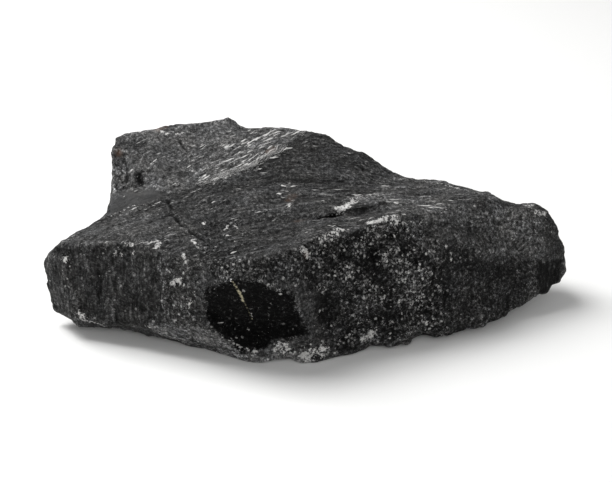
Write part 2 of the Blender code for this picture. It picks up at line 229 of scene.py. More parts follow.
CREVICES = [
    ([(-79.8, 16.5, 59), (-78.5, 14, 57)], 2.8, 1.2),
    ([(-87, 23, 66.5), (-85.5, 17.5, 61.5), (-85.5, 13, 57.5)], 1.3, 0.5),
    ([(4, -23.5, 55), (8.5, -22.5, 55.5), (14, -19.5, 56)], 1.9, 1.0),
    ([(17, -17.5, 56.5), (24, -15.5, 56.5), (33, -12.5, 57.5)], 3.6, 0.75),
    ([(-19, 15, 58), (-5, 14, 58), (4, 17, 58), (16, 15, 57)], 4.5, 0.4),
    ([(26.5, -36, 48), (28.5, -38, 43)], 3.8, 0.9),
    ([(5, -52.5, 30), (6, -51, 20)], 6.5, 0.7),
    ([(62.5, -26.5, 37), (71, -23.5, 32), (86, -15, 24.5), (93, -12.5, 17)], 6.5, 0.35),
    ([(59.5, -29, 33), (60, -30, 18.5)], 5.5, 0.4),
    ([(-114, -23.5, 40), (-109, -27, 42), (-107.5, -28.5, 36)], 5.0, 0.85),
    ([(-85, -38, 12.5), (-72, -43, 14)], 4.0, 0.5),
    ([(20.5, 31, 60), (30, 26, 57.5)], 2.5, 0.4),
    ([(79, -1, 53.5), (88, 3, 51), (96, 8, 48)], 3.5, 0.5),
    ([(-89.5, 28.5, 71.5), (-85.5, 27.5, 70), (-80, 30, 70)], 5.5, 0.45),
    ([(-9.5, -54.5, 5), (-7, -54.5, 7)], 1.9, 0.9),
    ([(1.5, -54, 3), (4, -53.5, 2)], 2.4, 0.9),
    ([(-3.5, -54.5, 7.5), (-1, -54, 8)], 1.8, 0.8),
]
CRACKS = [
    ([(-65, 1.5, 53.5), (-62.5, -8.5, 53), (-59.5, -17, 51.5), (-57, -23.5, 51.5)], 1.4, 1.3),
    ([(-57, -23.5, 51.5), (-50, -31, 51.5), (-41, -44, 50.5), (-37.5, -51, 50.5)], 1.5, 1.3),
    ([(-37, -54, 50.5), (-35.8, -56.5, 48), (-34, -58.5, 45)], 1.3, 1.2),
    ([(-65.5, 42, 72), (-62, 36, 69.5), (-58, 30, 67)], 1.5, 1.1),
    ([(66, -2, 55.8), (76, -1, 54.5)], 1.2, 0.8),
    ([(88, -2, 49), (94, -1.5, 45)], 1.2, 0.7),
    ([(-26, 12, 57.5), (-33, 4, 56.5), (-38, -8, 55.5)], 1.0, 0.6),
]
VEIN = [
    ([(-34, -58.5, 45), (-32.5, -60, 42.5), (-30, -59, 36), (-28.5, -58, 32.5)], 1.35, 1.0),
    ([(-28.5, -58, 32.5), (-27.5, -57.5, 30), (-26.5, -55, 24.5), (-25.5, -54, 21)], 0.85, 0.65),
]
# Thick clusters of white grains
CLUSTERS = [
    ([(-10, -55, 7), (-2, -54.5, 4), (5, -53, 6)], 9.0, 0.7),
    ([(3, -46, 54), (9, -43, 53)], 7.0, 0.55),
    ([(16, -40, 53), (20, -39, 49)], 6.0, 0.4),
    ([(33, -36, 46), (38, -36, 42)], 7.0, 0.65),
    ([(40, -38, 28), (48, -36, 18)], 11.0, 0.2),
    ([(-36, -58, 46), (-28, -60, 48), (-18, -62, 45), (-9, -60, 40)], 5.5, 0.8),
    ([(-57, -48, 40), (-54, -50, 24)], 8.0, 0.3),
]
# Places on the sugary face with few grains
BARE_PATCHES = [
    ([(8.5, -50, 29.5), (12, -49.5, 22.5), (15, -49.5, 15.5)], 9.0, 0.9),
    ([(29.5, -41.5, 18.5), (39.5, -38.5, 19)], 7.0, 0.6),
    ([(27, -36.5, 48), (28.5, -38, 42)], 5.0, 0.7),
]
RUST_SPOTS = [
    ([(-89.5, 22.5, 67), (-90, 24, 69)], 3.0, 0.8),
    ([(-69.5, 43.5, 73.5), (-72, 42, 73)], 2.5, 0.8),
    ([(-20, 33.5, 65.5), (-18, 35, 66)], 2.5, 0.6),
    ([(-5.5, -24, 54.5), (-4, -24, 54.5)], 3.0, 0.6),
    ([(-9.5, -4.5, 56.5), (-8, -2, 56.5)], 4.0, 0.6),
    ([(-3, -51.5, 52), (-2, -51, 51)], 2.0, 0.7),
]
# Flaky edge at the left of the block slope
FLAKES = ([(-92, 24, 68), (-90, 16, 61), (-90, 10, 55)], 9.0)

# Part of the normal that points up, to the front or to the back where a zone starts and is full
PLAN_FACING = (0.2, 0.5)
FRONT_FACING = (-0.1, 0.2)
UNDER_FACING = (0.05, 0.3)
TOP_FACING = (0.45, 0.75)
BACK_FACING = (-0.25, 0.25)
# Front facets that end where the stone turns up to the top
STEEP_FACETS = ("left_face", "corner", "sugary", "right_low", "right_high")
STEEP_FACING = (0.75, 0.45)
# Lumps that carry borders off their drawn lines, size and seeds: wandering ones, and ragged ones
# for borders as sharp as RAGGED_SOFT. Then how far they carry them
WANDER = (7.0, (1, 2, 3))
RAGGED = (6.0, (4, 7, 9))
RAGGED_SOFT = 1.0
BORDER_REACH = 1.6
RAGGED_REACH = 1.8
CRACK_REACH = 0.8
VEIN_REACH = 0.5
# Calm of the left lobe against the block slope's, and ribs of the corner against the left face's
LOBE_CALM = 0.8
CORNER_RIBS = 0.5
# Share of the rough relief that is missing on the smooth facets, on the top and on calm places
SMOOTH_LOSS = 0.75
TOP_LOSS = 0.45
CALM_LOSS = 0.4
# Spots where rough lumps are high: size, seed, number of sizes, and the heights where a spot starts
# and is full
OPEN_CRACKS = (6.0, 18, 2, -0.45, 0.1)
CRUMB_SPOTS = (4.5, 22, 2, -0.5, 0.05)
CREST_SPOTS = (9.0, 16, 3, -0.1, 0.6)
BACK_SPOTS = (24.0, 48, 3, 0.15, 0.6)
# Patches of grains on the sugary face and of flecks on the top: mean, swing, size, seed, number of
# sizes, least and most
SUGARY_PATCHES = (0.66, 2.1, 10.0, 44, 3, 0.1, 1.35)
FLECK_PATCHES = (0.7, 1.1, 14.0, 45, 2, 0.0, 1.25)

# Forms of the relief: zone, height, coordinates that they follow, size as one length or one along
# each axis, seed and number of sizes, each half of the one before
FORMS = [
    ("stone", 0.4, "place", 13.0, 5, 1),
    ("grainy", 0.5, "place", 5.5, 6, 2),
    ("grainy", 0.26, "place", 2.4, 8, 2),
    ("cleaved", 0.2, "lie", (12.0, 2.2, 2.6), 10, 1),
    ("ribbed", 0.36, "place", (2.3, 2.3, 11.0), 12, 1),
    ("ribbed", 0.216, "place", (5.0, 5.0, 20.0), 13, 1),
    ("flakes", 0.5, "place", (1.9, 1.9, 9.0), 15, 1),
    ("back", 0.3, "beds", (14.0, 1.8, 6.0), 19, 1),
    ("powdery", 0.5, "place", 2.6, 20, 2),
    ("crumbled", 0.7, "place", 3.4, 21, 2),
]
# Ends of the layers, on the cleaved top and, thicker, at the back: heights, waves as a share of a
# layer, the share of it in which its end drops, and its mean height
STEP_HEIGHT = 0.36
BED_HEIGHT = 0.55
BED_LAYERS = 1.5
LAYER_WAVES = 1.3
LAYER_WAVE_SIZE = (34.0, 10.0, 10.0)
LAYER_SEED = 31
LAYER_DROP = 0.18
LAYER_MEAN = 0.45
# Thin plates and tight splits of the cleaved top
PLATE_SIZE = (8.0, 3.6, 3.6)
PLATE_SEED = 30
PLATE_HEIGHT = 0.3
SPLIT_SIZE = (20.0, 5.0, 5.0)
SPLIT_SEED = 11
SPLIT_WIDTH = 0.09
SPLIT_DEPTH = 0.5
# Sugary grains: height, what is added to each one's random share of it, and the distances from its
# middle, as shares of its size, where it starts and is full
GRAIN_SEED = 14
GRAIN_HEIGHT = 0.8
GRAIN_LEAST = 0.3
GRAIN_ROUND = (0.8, 0.1)
# Chipped crests: rise over the broad shape where they start and are full, depth, and what the top
# takes off it
CREST_RISE = (0.06, 0.28)
CREST_DEPTH = 0.9
CREST_TOP_LESS = 0.4
CREVICE_DEPTH = 1.1
CRACK_DEPTH = 0.9

# Patches lighter and darker than their zone: zone, stops, then as in the forms of the relief
SHADES = [
    ("stone", 0.44, "place", 15.0, 40, 3),
    ("top", 0.34, "lie", (30.0, 4.0, 5.0), 41, 1),
    ("left_face", 1.15, "place", (6.0, 6.0, 38.0), 42, 1),
    ("sugary", 2.1, "place", 10.0, 43, 3),
    ("back", 0.4, "place", 30.0, 46, 1),
    ("back", 0.4, "beds", (40.0, 3.0, 12.0), 47, 1),
    ("right_high", 1.0, "place", 18.0, 49, 1),
    ("under", 0.9, "lie", (26.0, 3.0, 6.0), 50, 1),
]
# Stops that bare patches lose, that crevices and cracks lose as painted shade, and that a rise of 1
# mm wins up to the limit below: lighter worn edges and painted highlight on rises, painted shade in
# dips
BARE_STOPS = 0.6
CREVICE_AND_CRACK_SHADE_STOPS = 2.2
WEAR_AND_PAINTED_SHADING_STOPS = 3.0
WEAR_AND_PAINTED_SHADING_RISE = 0.25
# Strength of the three weaves of grain in each zone. The ribs along the streaks count on the top
FINE_GRAIN = {
    "stone": 1.25, "cheek": -1.0, "calm": -0.1, "hollow": 2.1, "sugary": 1.2, "brow": 1.0,
    "corner": 0.5, "right_low": 0.75, "right_high": 0.3,
}
TOP_RIBS = {"stone": 0.56, "cheek": -0.33, "calm": -0.27}
UNDER_RIBS = 0.8
UPRIGHT_RIBS = {"left_face": 1.2, "corner": 0.5, "flakes": 1.6, "right_chip": 2.0}
# Strength of the small white flecks of the top and of the loose white grains in each zone
FLECKS = {"stone": 0.4, "smooth": -0.4, "lobe_top": -0.2, "dark_slope": -0.12}
LOOSE_GRAINS = {
    "stone": 0.12, "top": -0.12, "corner": 0.12, "brow": 0.12, "cheek": -0.3, "right_chip": -0.3,
    "crumbled": 1.15,
}
BACK_GRAINS = 0.55
BARE_LOSS = 0.75

# Sizes of the finish's patterns, as one length or one along each axis
FINE_SIZE = 1.5
RIB_SIZE = (7.0, 0.9, 1.4)
UPRIGHT_SIZE = (1.3, 1.3, 8.0)
LINE_SIZE = (30.0, 6.0, 7.0)
CAST_SIZE = 11.0
CELL_SIZE = 1.3
STROKE_SIZE = (6.0, 1.1, 1.6)
POWDER_SIZE = 1.3
# Stops from the darkest to the lightest of the three weaves and of the plates, and by which a line
# along the streaks is darker, with the line's half width in its noise
WEAVE_STOPS = (10.0, 6.0, 6.0)
PLATE_STOPS = 0.9
LINE_STOPS = 2.2
LINE_WIDTH = 0.014
# How far the fine grain shakes the plates, as a share of them, and the grains, in millimetres
PLATE_SHAKE = (0.35, 0.35, 0.35)
CELL_SHAKE = (2.4, 2.4, 2.4)
# Marks: what a mark adds to its noise or draw, then the sums where the colour starts and is full,
# and its share there
GRAIN_DRAW = (0.36, 1.0, 1.06)
SALT_DRAW = (0.06, 0.69, 0.74, 0.9)
STROKE_DRAW = (0.24, 0.75, 0.83, 1.0)
POWDER_DRAW = (0.38, 0.73, 0.85, 1.0)
VEIN_DRAW = (0.5, 0.74, 0.96, 0.9)
# Grains: distances from the middle where one starts and is full, the power that keeps most of them
# grey, and what a draw adds to the least whiteness
CELL_ROUND = (0.6, 0.3)
CELL_POWER = 1.5
CELL_WHITE = 0.95
CELL_GREY = 0.04
RUST_SHARE = 0.35
CAST_RANGE = (0.35, 0.65)
# Height of the bumps that the grain makes
BUMP_HEIGHT = 0.12
# Shader nodes in a row, and their spacing
NODE_COLUMNS = 16
NODE_SPACING = (180, 260)

# Floor: flat radius, radius that its rim curves up with, rings of the curve and sides
FLOOR_FLAT = 1500.0
FLOOR_BEND = 700.0
FLOOR_RINGS = 13
FLOOR_SIDES = 64
# Lights overhead and in front: sides and place in metres, turn in degrees
KEY = ((0.9, 0.7), (-0.65, 0.35, 1.15), (-17.0, -29.0, 0.0))
FILL = ((1.2, 0.8), (0.2, -1.3, 0.7), (62.0, 0.0, 9.0))

# Photo's view: the camera looks along +Y and down
CAMERA_AIM = (-2.07, -1.32, 34.0)
SENSOR_MM = 36.0


def linear(hex_colour):
    """sRGB hex colour as linear red, green and blue."""
    levels = [int(hex_colour[k : k + 2], 16) / 255 for k in (1, 3, 5)]
    return tuple(c / 12.92 if c <= 0.04045 else ((c + 0.055) / 1.055) ** 2.4 for c in levels)


class StoneSkinSettings(bpy.types.PropertyGroup):
    """Sizes of the stone's fine surface."""

    splits: bpy.props.IntProperty(
        name="Splits", description="Pieces that each edge of the solid is split into",
        default=4, min=1, max=4,
    )
    worn_rounds: bpy.props.IntProperty(
        name="Wear", description="Rounds that soften the broken edges", default=2, min=0, max=20
    )
    relief: bpy.props.FloatProperty(
        name="Relief", description="Share of the rough relief",
        default=1.0, min=0.0, max=2.0, subtype="FACTOR",
    )
    layer: bpy.props.FloatProperty(
        name="Layer", description="Spacing of the layers' ends",
        default=6.0 * MM, unit="LENGTH", precision=4,
    )
    grain: bpy.props.FloatProperty(
        name="Grain", description="Size of the sugary grains",
        default=2.2 * MM, unit="LENGTH", precision=4,
    )


class StoneFinishSettings(bpy.types.PropertyGroup):
    """Colours of the stone."""

    cool: bpy.props.FloatVectorProperty(
        name="Cool", description="Cast of the grey mica",
        default=(0.995, 1.0, 1.012), subtype="COLOR",
    )
    warm: bpy.props.FloatVectorProperty(
        name="Warm", description="Cast where iron is near",
        default=(1.015, 1.0, 0.98), subtype="COLOR",
    )
    feldspar: bpy.props.FloatVectorProperty(
        name="Feldspar", description="White grains, chips and streaks",
        default=linear("#dedddb"), subtype="COLOR",
    )
    rust: bpy.props.FloatVectorProperty(
        name="Rust", description="Iron stain",
        default=linear("#a87f62"), subtype="COLOR",
    )
    epidote: bpy.props.FloatVectorProperty(
        name="Epidote", description="Pale yellow vein in the hollow",
        default=linear("#dcd4b4"), subtype="COLOR",
    )


class StoneStageSettings(bpy.types.PropertyGroup):
    """Studio around the stone."""

    floor: bpy.props.FloatVectorProperty(
        name="Floor", description="Paper of the floor",
        default=linear("#f4f4f3"), subtype="COLOR", min=0.0, max=1.0,
    )
    key_power: bpy.props.FloatProperty(
        name="Key", description="Power of the large soft light overhead",
        default=22.0, min=0.0, unit="POWER",
    )
    fill_power: bpy.props.FloatProperty(
        name="Fill", description="Power of the soft light in front",
        default=5.5, min=0.0, unit="POWER",
    )
    sky: bpy.props.FloatProperty(
        name="Sky", description="Strength of the even light", default=0.26, min=0.0
    )
    distance: bpy.props.FloatProperty(
        name="Distance", description="From the camera to the stone",
        default=665 * MM, unit="LENGTH",
    )
    tilt: bpy.props.FloatProperty(
        name="Tilt", description="How far the camera looks down",
        default=math.radians(25), subtype="ANGLE",
    )
    lens: bpy.props.FloatProperty(
        name="Lens", description="Focal length", default=85.0, unit="CAMERA"
    )


def ramp(values, low, high):
    """0 at low, 1 at high and 3t² - 2t³ between. Low may be the larger one."""
    t = np.clip((values - low) / (high - low), 0.0, 1.0)
    return t * t * (3.0 - 2.0 * t)


def hashed(cells, seed):
    """A number from 0 to 1 for each whole-number cell, the same on every run."""
    x, y, z = (cells[..., k] * mixer for k, mixer in enumerate(CELL_MIXERS))
    mixed = (x ^ y ^ z ^ (seed * SEED_MIXER)) & WORD
    for shift, mixer in BIT_MIXERS:
        mixed = ((mixed ^ (mixed >> shift)) * mixer) & WORD
    return ((mixed ^ (mixed >> 16)) & LOW_BITS) / LOW_BITS


def random_vectors(cells, seed):
    """Three numbers from 0 to 1 for each cell."""
    return np.stack([hashed(cells, 3 * seed + k) for k in range(3)], axis=-1)


def lumps(points, size, seed):
    """Gradient noise, about -1 to 1: each corner of a lattice with cells of the given size has a
    random slope, and the eight slopes around a point are blended with 6t⁵ - 15t⁴ + 10t³."""
    grid = points / size
    cell = np.floor(grid).astype(np.int64)
    t = grid - cell
    fade = t**3 * (t * (t * 6.0 - 15.0) + 10.0)
    total = np.zeros(len(points))
    for corner in itertools.product((0, 1), repeat=3):
        slope = random_vectors(cell + corner, seed) * 2.0 - 1.0
        weight = np.prod(np.where(corner, fade, 1.0 - fade), axis=-1)
        total += weight * np.sum(slope * (t - corner), axis=-1)
    return total * NOISE_GAIN


def rough(points, size, seed, sizes=3):
    """Lumps of the given size and of each half of it, each half as high as the one before."""
    return sum(
        lumps(points, np.divide(size, 2**k), seed + SIZE_SEED * k) / 2**k for k in range(sizes)
    )


def drift(points, size, seeds):
    """Rough lumps in three directions, which carry a border off its drawn line."""
    return np.stack([rough(points, size, seed) for seed in seeds], axis=-1)


def spots(points, size, seed, sizes, low, high):
    """0 where rough lumps are below low, 1 where they are above high."""
    return ramp(rough(points, size, seed, sizes), low, high)


def patches(points, mean, swing, size, seed, sizes, least, most):
    """Mean plus swing times rough lumps, kept between least and most."""
    return np.clip(mean + swing * rough(points, size, seed, sizes), least, most)


def grains(points, size, seed):
    """Distance to the nearest of the random points, one in each cell of the lattice, as a share of
    the cell, and that point's own random number."""
    grid = points / size
    cell = np.floor(grid).astype(np.int64)
    nearest = np.full(len(points), np.inf)
    label = np.zeros(len(points))
    for step in itertools.product((-1, 0, 1), repeat=3):
        near = cell + step
        away = np.linalg.norm(grid - near - random_vectors(near, seed), axis=-1)
        closer = away < nearest
        nearest = np.where(closer, away, nearest)
        label = np.where(closer, hashed(near, seed + LABEL_SEED), label)
    return nearest, label


def off_stretch(points, start, end):
    """Distance to the straight stretch from start to end."""
    start = np.array(start, float)
    side = np.array(end, float) - start
    t = np.clip((points - start) @ side / max(side @ side, TINY), 0.0, 1.0)
    return np.linalg.norm(points - start - t[:, None] * side, axis=-1)


def inside(flat, outline, soft):
    """1 inside an outline, 0 outside, with a border 2 soft wide: the distance to the nearest side,
    counted negative where a line to the right crosses the outline an even number of times."""
    away = np.full(len(flat), np.inf)
    crossed = np.zeros(len(flat), bool)
    for start, end in zip(outline, outline[1:] + outline[:1]):
        away = np.minimum(away, off_stretch(flat, start, end))
        over = (start[1] > flat[:, 1]) != (end[1] > flat[:, 1])
        lean = (end[0] - start[0]) / (end[1] - start[1] or 1.0)
        crossed ^= over & (flat[:, 0] < start[0] + lean * (flat[:, 1] - start[1]))
    return ramp(np.where(crossed, away, -away), -soft, soft)


def near_route(points, route, reach):
    """1 on a route of straight stretches, falling to 0 at the given reach from it."""
    away = [off_stretch(points, start, end) for start, end in zip(route, route[1:])]
    return ramp(np.min(away, axis=0), reach, 0.0)


def marks(points, routes):
    """The strongest of several routes at each point."""
    found = [strength * near_route(points, route, reach) for route, reach, strength in routes]
    return np.max(found, axis=0)


def merged(points, triangles):
    """Corners within the merge distance of each other made one."""
    _, first, index = np.unique(
        np.round(points / MERGE_MM).astype(np.int64), axis=0, return_index=True, return_inverse=True
    )
    return points[first], index.reshape(-1)[triangles]


def solid_surface():
    """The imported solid's corners in millimetres and its triangles, merged in a copy."""
    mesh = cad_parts[SOLID].data
    mesh.calc_loop_triangles()
    corners = np.empty(len(mesh.vertices) * 3, np.float32)
    mesh.vertices.foreach_get("co", corners)
    triangles = np.empty(len(mesh.loop_triangles) * 3, np.int32)
    mesh.loop_triangles.foreach_get("vertices", triangles)
    return merged(corners.reshape(-1, 3).astype(float) / MM, triangles.reshape(-1, 3))


def finer(corners, triangles, splits):
    """Each triangle as a surface of two parameters, P(u, v) = A + u (B - A) + v (C - A), on the grid
    of u and v in steps of 1 / splits with u + v at most 1."""
    grid = [(i, j) for i in range(splits + 1) for j in range(splits + 1 - i)]
    number = {place: k for k, place in enumerate(grid)}
    upright = [
        (number[i, j], number[i + 1, j], number[i, j + 1]) for i, j in grid if i + j < splits
    ]
    turned = [
        (number[i + 1, j], number[i + 1, j + 1], number[i, j + 1])
        for i, j in grid if i + j < splits - 1
    ]
    u, v = np.array(grid, float).T[:, None, :, None] / splits
    a, b, c = (corners[triangles[:, k]][:, None, :] for k in range(3))
    surface = a + u * (b - a) + v * (c - a)
    starts = np.arange(len(triangles))[:, None, None] * len(grid)
    faces = starts + np.array(upright + turned)
    return merged(surface.reshape(-1, 3), faces.reshape(-1, 3))


def gathered(index, values, count):
    """Sum of the rows of values that share an index."""
    return np.stack([np.bincount(index, column, count) for column in values.T], axis=-1)


def relaxed(points, triangles, rounds):
    """Each corner moved half-way to the mean of its neighbours, round after round."""
    ends = np.concatenate([triangles[:, [0, 1]], triangles[:, [1, 2]], triangles[:, [2, 0]]])
    near = np.bincount(ends[:, 0], minlength=len(points))[:, None]
    for _ in range(rounds):
        mean = gathered(ends[:, 0], points[ends[:, 1]], len(points)) / near
        points = (points + mean) / 2.0
    return points


def outward(points, triangles):
    """Unit normal at each corner: the sum of the cross products of its triangles' sides."""
    a, b, c = (points[triangles[:, k]] for k in range(3))
    across = np.cross(b - a, c - a)
    total = gathered(triangles.reshape(-1), np.repeat(across, 3, axis=0), len(points))
    return total / np.linalg.norm(total, axis=-1, keepdims=True)


def across_streaks(points):
    """Place across the streaks, Y less a curve of X whose slope goes from the left one to the right
    one between the two ends of the bend."""
    start, end = STREAK_BEND
    x = points[:, 0]
    turn = np.clip((x - start) / (end - start), 0.0, 1.0)
    change = STREAK_SLOPE_RIGHT - STREAK_SLOPE_LEFT
    bent = change * ((end - start) * turn**2 / 2.0 + np.maximum(x - end, 0.0))
    return points[:, 1] - STREAK_SLOPE_LEFT * (x - start) - bent


def zones(points, normals):
    """How far each point belongs to each facet and mark, 0 to 1."""
    wander = drift(points, *WANDER)
    places = points + BORDER_REACH * wander
    ragged = points + RAGGED_REACH * drift(points, *RAGGED)
    lines = points + CRACK_REACH * wander
    up, front = normals[:, 2], -normals[:, 1]
    zone = {"stone": np.ones(len(points))}
    for name, (outline, soft, _) in PLAN_FACETS.items():
        zone[name] = inside(places[:, :2], outline, soft) * ramp(up, *PLAN_FACING)
    for name, (outline, soft, _) in FRONT_FACETS.items():
        border = points + wander * min(soft, BORDER_REACH) if soft > RAGGED_SOFT else ragged
        zone[name] = inside(border[:, [0, 2]], outline, soft) * ramp(front, *FRONT_FACING)
    for name in STEEP_FACETS:
        zone[name] *= ramp(up, *STEEP_FACING)
    zone["under"] *= ramp(front, *UNDER_FACING)
    zone["top"] = ramp(up, *TOP_FACING)
    zone["back"] = (1.0 - zone["top"]) * ramp(-front, *BACK_FACING)
    zone["smooth"] = np.maximum(np.maximum(zone["hollow"], zone["cheek"]), zone["right_chip"])
    zone["flakes"] = near_route(places, *FLAKES)
    zone["streaks"] = marks(points, STREAK_BAND)
    zone["crevice"] = marks(lines, CREVICES)
    zone["crack"] = marks(lines, CRACKS) * spots(points, *OPEN_CRACKS)
    zone["bare"] = marks(places, BARE_PATCHES)
    zone["rust"] = marks(places, RUST_SPOTS)
    zone["vein"] = marks(points + VEIN_REACH * wander, VEIN)
    zone["calm"] = zone["block_slope"] * (1.0 - np.minimum(zone["streaks"], 1.0))
    zone["calm"] += LOBE_CALM * zone["lobe_top"]
    # Where the stone has crumbled, chips are white only in spots and never in a crevice
    crumbs, spotted = marks(points, CLUSTERS), spots(points, *CRUMB_SPOTS)
    grey = np.maximum(1.0 - spotted, np.minimum(zone["crevice"], 1.0))
    zone["crumbled"] = crumbs * spotted
    # White chips, with one white line along the cheek's rim that is a painted highlight
    zone["chips"] = marks(places, WHITE_CHIPS_AND_RIM_HIGHLIGHT) * (1.0 - crumbs * grey)
    zone["powdery"] = np.minimum(zone["chips"], 1.0)
    # What the relief takes hold of
    zone["plain"] = 1.0 - SMOOTH_LOSS * zone["smooth"]
    zone["grainy"] = zone["plain"] * (1.0 - TOP_LOSS * zone["top"])
    zone["cleaved"] = zone["top"] * (1.0 - zone["cheek"]) * (1.0 - CALM_LOSS * zone["calm"])
    zone["ribbed"] = zone["left_face"] + CORNER_RIBS * zone["corner"]
    return zone


def patterned(table, zone, coordinates):
    """Sum of a table's rows: a zone times an amount times rough lumps in the coordinates that the
    row follows."""
    return sum(
        zone[name] * amount * rough(coordinates[kind], size, seed, sizes)
        for name, amount, kind, size, seed, sizes in table
    )


def weighed(zone, weights):
    """Sum of the zones, each times its weight."""
    return sum(weight * zone[name] for name, weight in weights.items())


def layer_steps(lie, thickness):
    """Thin layers ending along the streaks: height rises across them and drops back at the end of
    each layer."""
    through = lie[:, 1] / thickness + LAYER_WAVES * lumps(lie, LAYER_WAVE_SIZE, LAYER_SEED)
    rise = through - np.floor(through)
    return rise * np.minimum(1.0, (1.0 - rise) / LAYER_DROP) - LAYER_MEAN


def relief(zone, coordinates, edge, layer, grain):
    """Height of the rough surface over the solid, in millimetres."""
    points, lie, beds = (coordinates[kind] for kind in ("place", "lie", "beds"))
    height = patterned(FORMS, zone, coordinates)
    # Cleaved surface: steps where thin layers end, thin plates and tight splits
    _, plate = grains(lie, PLATE_SIZE, PLATE_SEED)
    split = ramp(np.abs(lumps(lie, SPLIT_SIZE, SPLIT_SEED)), SPLIT_WIDTH, 0.0)
    height += zone["cleaved"] * STEP_HEIGHT * layer_steps(lie, layer)
    height += zone["cleaved"] * (PLATE_HEIGHT * (plate - 0.5) - SPLIT_DEPTH * split)
    # Broken across the layers: their ends at the back, loose grains on the sugary face
    height += zone["back"] * BED_HEIGHT * layer_steps(beds, BED_LAYERS * layer)
    away, label = grains(points, grain, GRAIN_SEED)
    bead = (ramp(away, *GRAIN_ROUND) - 0.5) * (GRAIN_LEAST + label)
    height += zone["sugary"] * GRAIN_HEIGHT * bead
    # Crests are chipped away here and there
    chipped = zone["plain"] * ramp(edge, *CREST_RISE) * spots(points, *CREST_SPOTS)
    height -= (CREST_DEPTH - CREST_TOP_LESS * zone["top"]) * chipped
    height -= CREVICE_DEPTH * zone["crevice"] + CRACK_DEPTH * zone["crack"]
    return height


def stone_tone(zone, coordinates, proud):
    """Share of light given back at each point: the zone's own share times 2 to the stops that it is
    lighter or darker by in patches, by wear and painted highlight on rises, and by painted shade in
    dips, crevices and cracks."""
    tone = BROKEN_TONE + (TOP_TONE - BROKEN_TONE) * zone["top"]
    for name, (_, _, share) in (PLAN_FACETS | FRONT_FACETS).items():
        tone += (share - tone) * zone[name]
    stops = patterned(SHADES, zone, coordinates) - BARE_STOPS * zone["bare"]
    # Rises lighter and dips darker: worn edges and painted highlight on the rises, painted shade in
    # the dips
    stops += WEAR_AND_PAINTED_SHADING_STOPS * np.clip(proud, -WEAR_AND_PAINTED_SHADING_RISE, WEAR_AND_PAINTED_SHADING_RISE)
    # Painted shade darkens the crevices and cracks
    stops -= CREVICE_AND_CRACK_SHADE_STOPS * np.maximum(zone["crevice"], zone["crack"])
    return tone * 2.0**stops


def grain_weave(zone):
    """Strength of the fine grain, of the ribs along the streaks and of the upright ribs."""
    ribs = zone["top"] * weighed(zone, TOP_RIBS) + UNDER_RIBS * zone["under"]
    return np.stack([weighed(zone, FINE_GRAIN), ribs, weighed(zone, UPRIGHT_RIBS)], axis=-1)


def white_marks(points, zone):
    """Strength of the powdery chips, of the brushed streaks and of the loose white grains."""
    flecks = zone["top"] * weighed(zone, FLECKS) * patches(points, *FLECK_PATCHES)
    sugar = zone["sugary"] * patches(points, *SUGARY_PATCHES) * (1.0 - BARE_LOSS * zone["bare"])
    loose = sugar + weighed(zone, LOOSE_GRAINS)
    loose += BACK_GRAINS * zone["back"] * spots(points, *BACK_SPOTS)
    return np.stack([zone["chips"], np.maximum(zone["streaks"], flecks), loose], axis=-1)


def surface_coordinates(points, zone):
    """The places themselves, the same along the streaks (X, across them, Z) and along the ends of
    the layers (X, through them, Y). Below the front the streaks are the ends of the layers."""
    x, y, z = points.T
    across = across_streaks(points)
    across += (y - STREAK_SLOPE_BLOCK * x - across) * zone["block_slope"]
    lie = np.stack([x, across, z], axis=-1)
    beds = np.stack([x, z + BED_SLOPE * x, y], axis=-1)
    lie += (beds - lie) * zone["under"][:, None]
    return {"place": points, "lie": lie, "beds": beds}


def placed(name, data):
    """New object in the scene."""
    made = bpy.data.objects.new(name, data)
    bpy.context.scene.collection.objects.link(made)
    return made


def make_skin(settings):
    """The skin object: the solid's triangles as finer surfaces, worn and roughened."""
    sharp, triangles = finer(*solid_surface(), settings.splits)
    points = relaxed(sharp, triangles, settings.worn_rounds)
    points[:, 2] = np.where(sharp[:, 2] < REST_HEIGHTS[0], sharp[:, 2], points[:, 2])
    normals = outward(points, triangles)
    edge = np.sum((points - relaxed(points, triangles, BROAD_ROUNDS)) * normals, axis=-1)
    zone = zones(points, normals)
    coordinates = surface_coordinates(points, zone)
    height = relief(zone, coordinates, edge, settings.layer / MM, settings.grain / MM)
    free = ramp(points[:, 2], *REST_HEIGHTS)
    made = points + normals * (height * free * settings.relief)[:, None]
    made[:, 2] = np.maximum(made[:, 2], np.where(free > 0.0, REST_CLEARANCE, 0.0))
    proud = np.sum((made - relaxed(made, triangles, NEAR_ROUNDS)) * normals, axis=-1)

    mesh = bpy.data.meshes.new(SKIN)
    mesh.from_pydata(made * MM, [], triangles)
    read_by_finish = {
        "tone": stone_tone(zone, coordinates, proud),
        "rust": zone["rust"],
        "vein": zone["vein"],
        "lie": coordinates["lie"],
        "weave": grain_weave(zone),
        "marks": white_marks(points, zone),
    }
    for name, values in read_by_finish.items():
        kind, field = ("FLOAT", "value") if values.ndim == 1 else ("FLOAT_VECTOR", "vector")
        attribute = mesh.attributes.new(name, kind, "POINT")
        attribute.data.foreach_set(field, values.astype(np.float32).reshape(-1))
    mesh.shade_smooth()
    mesh.update()
    if mesh.validate():
        raise RuntimeError("the stone's skin has faulty faces")
    return placed(SKIN, mesh)


def add(tree, kind, inputs=None, output=0, **settings):
    """Adds one shader node and returns one of its outputs. An input is a value or another output."""
    made = tree.nodes.new("ShaderNode" + kind)
    row, column = divmod(len(tree.nodes), NODE_COLUMNS)
    made.location = (column * NODE_SPACING[0], -row * NODE_SPACING[1])
    for name, value in settings.items():
        setattr(made, name, value)
    for socket, value in (inputs or {}).items():
        if isinstance(value, bpy.types.NodeSocket):
            tree.links.new(value, made.inputs[socket])
        else:
            made.inputs[socket].default_value = value
    return made.outputs[output]


